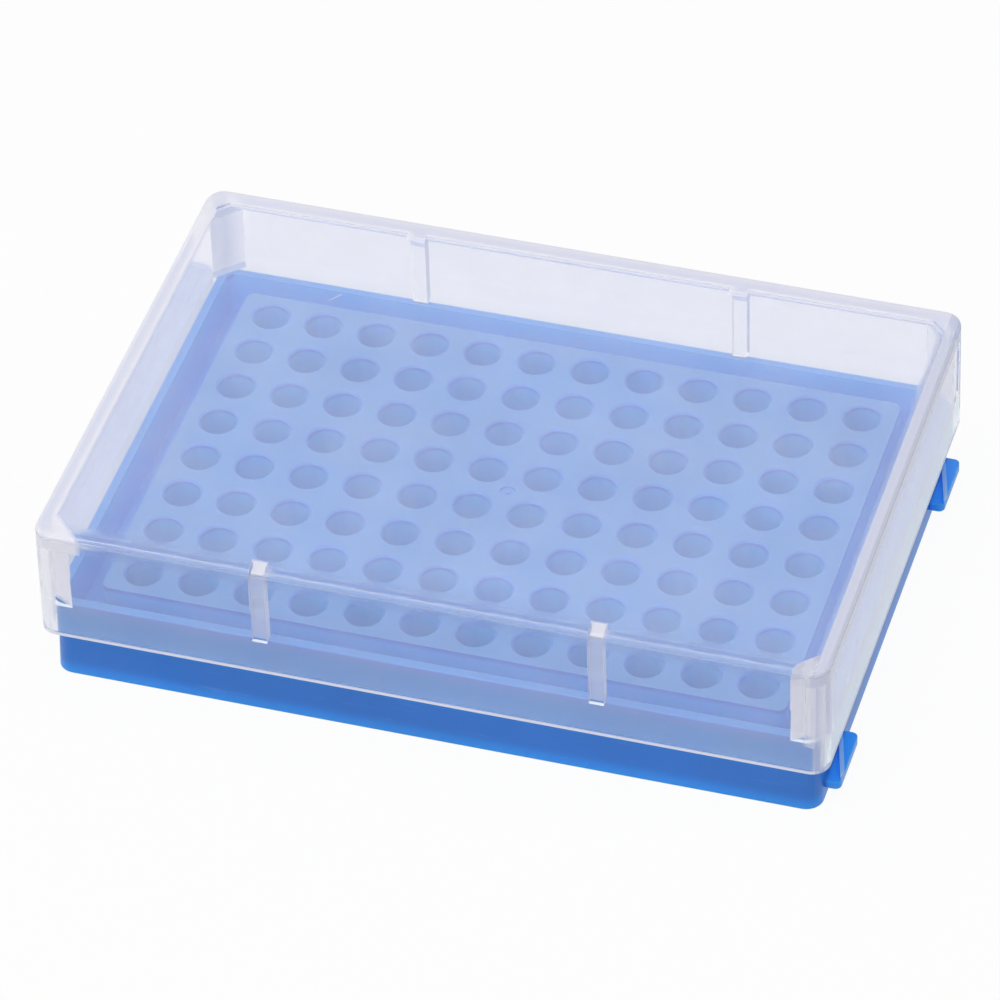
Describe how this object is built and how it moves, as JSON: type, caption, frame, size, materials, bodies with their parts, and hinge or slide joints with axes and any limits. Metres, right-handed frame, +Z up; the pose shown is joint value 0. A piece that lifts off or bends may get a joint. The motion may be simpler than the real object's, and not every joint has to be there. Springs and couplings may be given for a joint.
{
  "type": "microcentrifuge tube rack",
  "caption": "Low moulded tube rack: a deck of round wells inside a moat and rim, linking tabs on one end, under a frosted lift-off lid with inner ribs and corner posts.",
  "frame": {"origin": "centre of the grid of wells, at table level", "axes": "+X along the long side towards the end with the linking tabs, +Y along the short side, +Z up"},
  "size_m": [0.1273, 0.0882, 0.03],
  "materials": {
    "base_blue": "satin moulded polypropylene, saturated blue",
    "lid_frosted": "frosted translucent polypropylene, cool white"
  },
  "bodies": {
    "root": {"rack_base": "base_blue", "lid": "lid_frosted"}
  },
  "joints": []
}
